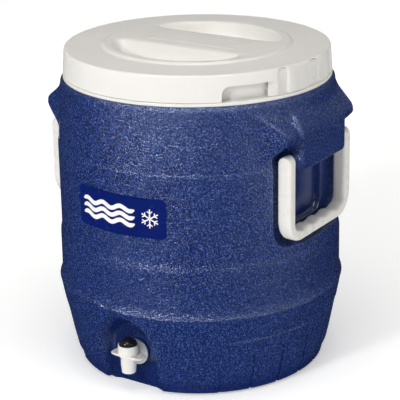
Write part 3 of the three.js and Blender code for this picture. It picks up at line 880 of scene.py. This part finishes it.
def tap_nut():
    """Hexagon nut with chamfered corners, facing into the tank."""
    columns = 96
    angle = np.arange(columns) * 2 * math.pi / columns
    flat = 14.4 * math.cos(math.pi / 6)
    hexagon = flat / np.cos((angle + math.pi / 6) % (math.pi / 3) - math.pi / 6)
    line = [(8.3, 120.5), (12.4, 120.5), (13.4, 121), (14.4, 121.9), (14.4, 127), (13.4, 127.9),
            (12.4, 128.3), (8.3, 128.3)]
    rings = circles(np.array(line), columns)
    _, radius = ring_angles(rings)
    limit = np.where(radius > 9, np.minimum(radius, hexagon), radius)
    rings = pushed(rings, limit - radius)
    return mesh_object("nut", *skin(along_shank(rings), loop=True), LINER_WHITE, crease=25)


def tap_small_parts():
    """(piece, CAD node, body, slot) for the valve's small turned parts."""
    stem = [(0, 30.4), (3.2, 30.4, 0.4), (3.2, 32.1, 0.3), (1.3, 32.1), (1.3, 35.8),
            (1.7, 36, 0.1), (1.7, 61.6, 0.5), (0, 62)]
    seal = [(1.6, 32.5, 0.3), (5.9, 32.5, 0.8), (5.9, 35.1, 0.5), (4.6, 35.1, 0.3),
            (4.0, 34.6, 0.3), (1.6, 34.6, 0.3)]
    guide = [(2.4, 45.3, 0.2), (6.1, 45.3, 0.4), (6.1, 47.9, 0.5), (2.4, 47.9, 0.3)]
    ring = [(3 + 0.88 * math.cos(a), 45.7 + 0.88 * math.sin(a))
            for a in np.arange(16) * math.pi / 8]
    outer = [(8.4, 142.4, 0.4), (15.4, 142.4, 0.6), (15.4, 144, 0.6), (8.4, 144, 0.4)]
    inner = [(8.4, 128.8, 0.4), (13.4, 128.8, 0.6), (13.4, 130.6, 0.6), (8.4, 130.6, 0.4)]
    slots = {LINER_WHITE: "white_plastic", RUBBER: "seal_rubber"}
    parts = (
        ("stem", stem, LINER_WHITE, 32, False, on_tap, "tap_plunger"),
        ("seal", seal, RUBBER, 48, True, on_tap, "tap_plunger"),
        ("stem_guide", guide, LINER_WHITE, 48, True, on_tap, "jug"),
        ("stem_ring", ring, RUBBER, 32, True, on_tap, "jug"),
        ("gasket_outer", outer, RUBBER, 64, True, along_shank, "jug"),
        ("gasket_inner", inner, RUBBER, 64, True, along_shank, "jug"),
    )
    return [(turned(name, outline, material, around, loop, place), f"tap_{name}", body,
             slots[material])
            for name, outline, material, around, loop, place, body in parts]


# ---------- label ----------
LABEL_R = -LABEL_LOW[1] - 0.8              # radius of the label's back
LABEL_MIDDLE = (LABEL_LOW[2] + LABEL_HIGH[2]) / 2


def on_waist(across, up, out):
    """A point of the label: across along the arc, up its height, out from the label's back."""
    angle = across / LABEL_R
    radius = LABEL_R + out
    height = up + LABEL_MIDDLE + 0 * angle
    return np.stack([radius * np.sin(angle), -radius * np.cos(angle), height], -1)


def rounded_outline(half_u, half_v, corner, per_corner=8):
    turn = np.linspace(0, math.pi / 2, per_corner)
    points = []
    for i, (u, v) in enumerate(((1, 1), (-1, 1), (-1, -1), (1, -1))):
        a = turn + i * math.pi / 2
        points.append(np.stack([u * (half_u - corner) + corner * np.cos(a),
                                v * (half_v - corner) + corner * np.sin(a)], -1))
    line = np.concatenate(points)
    closed = np.concatenate([line, line[:1]])
    length = np.concatenate([[0], np.cumsum(np.linalg.norm(np.diff(closed, axis=0), axis=1))])
    at = np.linspace(0, length[-1], 160, endpoint=False)
    return np.stack([np.interp(at, length, closed[:, k]) for k in (0, 1)], -1)


def label():
    arc_half = math.asin(LABEL_HIGH[0] / (LABEL_R + 0.4)) * LABEL_R - 0.3
    half_v = (LABEL_HIGH[2] - LABEL_LOW[2]) / 2 - 0.2
    rings = []
    for inset, out in ((0.0, 0.0), (0.0, 0.45), (0.25, 0.7), (1.1, 0.75), (1.5, 0.5)):
        line = rounded_outline(arc_half - inset, half_v - inset, 6 - inset)
        rings.append(on_waist(line[:, 0], line[:, 1], out))
    line = rounded_outline(arc_half - 1.5, half_v - 1.5, 4.5)
    for start, end, count, out in ((0.94, 0.02, 14, 0.5), (0.02, 0.97, 12, 0.0)):
        for scale in np.linspace(start, end, count):
            rings.append(on_waist(line[:, 0] * scale, line[:, 1] * scale, out))
    return mesh_object("label_plate", *skin(np.array(rings), loop=True), LABEL_BLUE, crease=40)


def ribbon(name, middle, widths, high=0.85):
    """A flat printed-thick strip on the label, along a line of (across, up) points."""
    low = 0.35
    middle = np.asarray(middle, float)
    along = np.gradient(middle, axis=0)
    along /= np.linalg.norm(along, axis=1)[:, None]
    side = np.stack([-along[:, 1], along[:, 0]], -1) * np.asarray(widths)[:, None] / 2
    rings = []
    for a, b in zip(middle - side, middle + side):
        u, v = np.array([a[0], a[0], b[0], b[0]]), np.array([a[1], a[1], b[1], b[1]])
        rings.append(on_waist(u, v, np.array([low, high, high, low])))
    return mesh_object(name, *skin(np.array(rings)), MARK_WHITE)


def wave_mark():
    """Three rolling waves and a snow crystal: a plain sign for a cold drink."""
    pieces = []
    start, end, swing, width = -54, 24, 2.3, 5.2
    for i, up in enumerate((8.6, 0.0, -8.6)):
        across = np.linspace(start, end, 90)
        rolls = (across - start) / (end - start) * 6 * math.pi
        line = np.stack([across, up + swing * np.sin(rolls)], -1)
        ends = np.minimum(across - start, end - across)
        widths = width * np.clip(np.sqrt(np.clip(ends / 4.5, 0, 1)), 0.12, 1)
        pieces.append(ribbon(f"wave_{i}", line, widths))
    centre = np.array([43.0, 0.0])
    for i in range(6):
        a = math.radians(30 + 60 * i)
        out = np.array([math.cos(a), math.sin(a)])
        arm = centre + out * np.linspace(0.6, 11.5, 8)[:, None]
        pieces.append(ribbon(f"crystal_arm_{i}", arm, np.full(8, 1.5), 0.8))
        for sign in (-1, 1):
            b = a + sign * math.radians(52)
            tip = np.array([math.cos(b), math.sin(b)])
            twig = centre + out * 6.4 + tip * np.linspace(0, 4.2, 5)[:, None]
            pieces.append(ribbon(f"crystal_twig_{i}_{sign + 1}", twig, np.full(5, 1.2), 0.78))
    return joined("label_mark", pieces)


def joined(name, pieces):
    """Several closed meshes as the loose parts of one object."""
    work = bmesh.new()
    for piece in pieces:
        work.from_mesh(piece.data)
    first = pieces[0]
    work.to_mesh(first.data)
    work.free()
    for piece in pieces[1:]:
        bpy.data.objects.remove(piece)
    first.name = name
    return first


# ---------- placing ----------
def stand_in(piece, node, body, slot):
    """piece rides on a body and replaces a CAD node; slot is not used."""
    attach(piece, body)
    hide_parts(node)


stand_in(outer_shell(), "outer_shell", "jug", "shell_blue")
stand_in(fill_plug(), "fill_plug", "jug", "shell_blue")
stand_in(inner_liner(), "inner_liner", "jug", "white_plastic")
stand_in(label(), "label", "jug", "label_blue")
mark = wave_mark()
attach(mark, "jug")

stand_in(tap_body(), "tap_body", "jug", "handle_white")
for small in tap_small_parts():
    stand_in(*small)
stand_in(tap_nut(), "tap_nut", "jug", "white_plastic")
stand_in(tap_button(), "tap_button", "tap_plunger", "button_black")
spring = tap_spring()
stand_in(spring, "tap_spring", "jug", "spring_steel")
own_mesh(spring)

stand_in(handle("bail_right", lambda p: p), "handle_right", "handle_right", "handle_white")
stand_in(handle("bail_left", half_turn), "handle_left", "handle_left", "handle_white")

stand_in(lid_top(), "lid_top", "lid", "lid_white")
stand_in(lid_pan(), "lid_pan", "lid", "white_plastic")
stand_in(lid_gasket(), "lid_gasket", "lid_ring", "seal_rubber")

for name in ("foam_body", "lid_foam"):
    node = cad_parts[name]
    node.data.materials.clear()
    node.data.materials.append(FOAM)


# ---------- stage ----------
FLOOR_GLOW = 0.42                         # under the jug; it glows more further out
STAGE_HALF = 9000.0


def pale(n):
    """A near-white tone and a dull roughness."""
    tone = n.blend(n.noise(3, 2), (0.86, 0.86, 0.86), (0.88, 0.88, 0.88))
    return tone, n.ranged(n.noise(20, 2), 0, 1, 0.75, 0.85)


def pale_floor():
    n = Nodes("pale_floor")
    tone, roughness = pale(n)
    glow = n.ranged(n.length(n.where), 0.3, 1.5, FLOOR_GLOW, 0.72)
    n.tree.links.new(glow, n.shader.inputs["Emission Strength"])
    normal = n.bump(n.noise(300, 2), 0.02)
    material = n.finish(tone, roughness, normal, Emission_Color=(1, 1, 1, 1))
    points = [(u * STAGE_HALF, v * STAGE_HALF, 0) for u, v in ((-1, -1), (1, -1), (1, 1), (-1, 1))]
    floor = mesh_object("floor", points, [[0, 1, 2, 3]], material)
    floor.visible_glossy = False


def backdrop():
    """Pale wall all round the floor, which only the camera sees."""
    n = Nodes("pale_wall")
    tone, roughness = pale(n)
    material = n.finish(tone, roughness, n.bump(tone, 0.02),
                        Emission_Color=(1, 1, 1, 1), Emission_Strength=1.05)
    wall = circles(np.array([(STAGE_HALF - 100, -5.0), (STAGE_HALF - 100, 9000.0)]), 96)
    wall = mesh_object("wall", *skin(wall, capped=False), material)
    wall.visible_diffuse = wall.visible_glossy = wall.visible_shadow = False


def towards(azimuth, elevation):
    """Unit vector from the jug; azimuth is measured from -Y towards +X."""
    return Vector((math.sin(azimuth) * math.cos(elevation),
                   -math.cos(azimuth) * math.cos(elevation), math.sin(elevation)))


def area_light(name, azimuth, elevation, distance, size, power, colour):
    """A square lamp aimed at the middle of the jug, with its angles in degrees."""
    back = towards(math.radians(azimuth), math.radians(elevation))
    lamp = bpy.data.lights.new(name, "AREA")
    lamp.shape = "SQUARE"
    lamp.size = size
    lamp.energy = power
    lamp.color = colour
    obj = bpy.data.objects.new(name, lamp)
    bpy.context.scene.collection.objects.link(obj)
    obj.rotation_euler = back.to_track_quat("Z", "Y").to_euler()
    obj.location = back * distance + Vector((0, 0, 0.2))


def studio():
    """Three soft lamps, and a world that is brighter above the horizon."""
    world = bpy.data.worlds.new("studio")
    bpy.context.scene.world = world
    world.use_nodes = True
    tree = world.node_tree
    around = tree.nodes.new("ShaderNodeTexCoord")
    split = tree.nodes.new("ShaderNodeSeparateXYZ")
    tree.links.new(around.outputs["Generated"], split.inputs["Vector"])
    glow = tree.nodes.new("ShaderNodeMapRange")
    limits = {"From Min": -0.05, "From Max": 0.05, "To Min": 0.02, "To Max": 0.14}
    for key, value in limits.items():
        glow.inputs[key].default_value = value
    tree.links.new(split.outputs["Z"], glow.inputs["Value"])
    background = tree.nodes["Background"]
    tree.links.new(glow.outputs["Result"], background.inputs["Strength"])
    background.inputs["Color"].default_value = (1, 0.99, 0.97, 1)
    area_light("key", -6, 26, 2.4, 0.4, 23, (1, 1, 1))
    area_light("fill", 92, 16, 2.6, 1.5, 9, (1, 0.99, 0.98))
    area_light("top", 40, 80, 2.6, 1.8, 36, (1, 0.99, 0.97))
    bpy.context.scene.view_settings.view_transform = "Standard"


def camera():
    """Seen from the front and the right, from a little above, with a long lens."""
    azimuth, elevation, roll = math.radians(33.4), math.radians(19.4), math.radians(-1)
    distance = 1.86
    back = towards(azimuth, elevation)
    aim = Vector((0.25 * math.cos(azimuth), 0.25 * math.sin(azimuth), 195.5)) * MM
    lens = bpy.data.cameras.new("camera")
    lens.lens = 132.3
    lens.sensor_width = 36
    obj = bpy.data.objects.new("camera", lens)
    bpy.context.scene.collection.objects.link(obj)
    upright = back.to_track_quat("Z", "Y").to_matrix().to_4x4()
    place = Matrix.Translation(aim + back * distance)
    obj.matrix_world = place @ upright @ Matrix.Rotation(roll, 4, "Z")
    bpy.context.scene.camera = obj


pale_floor()
backdrop()
studio()
camera()
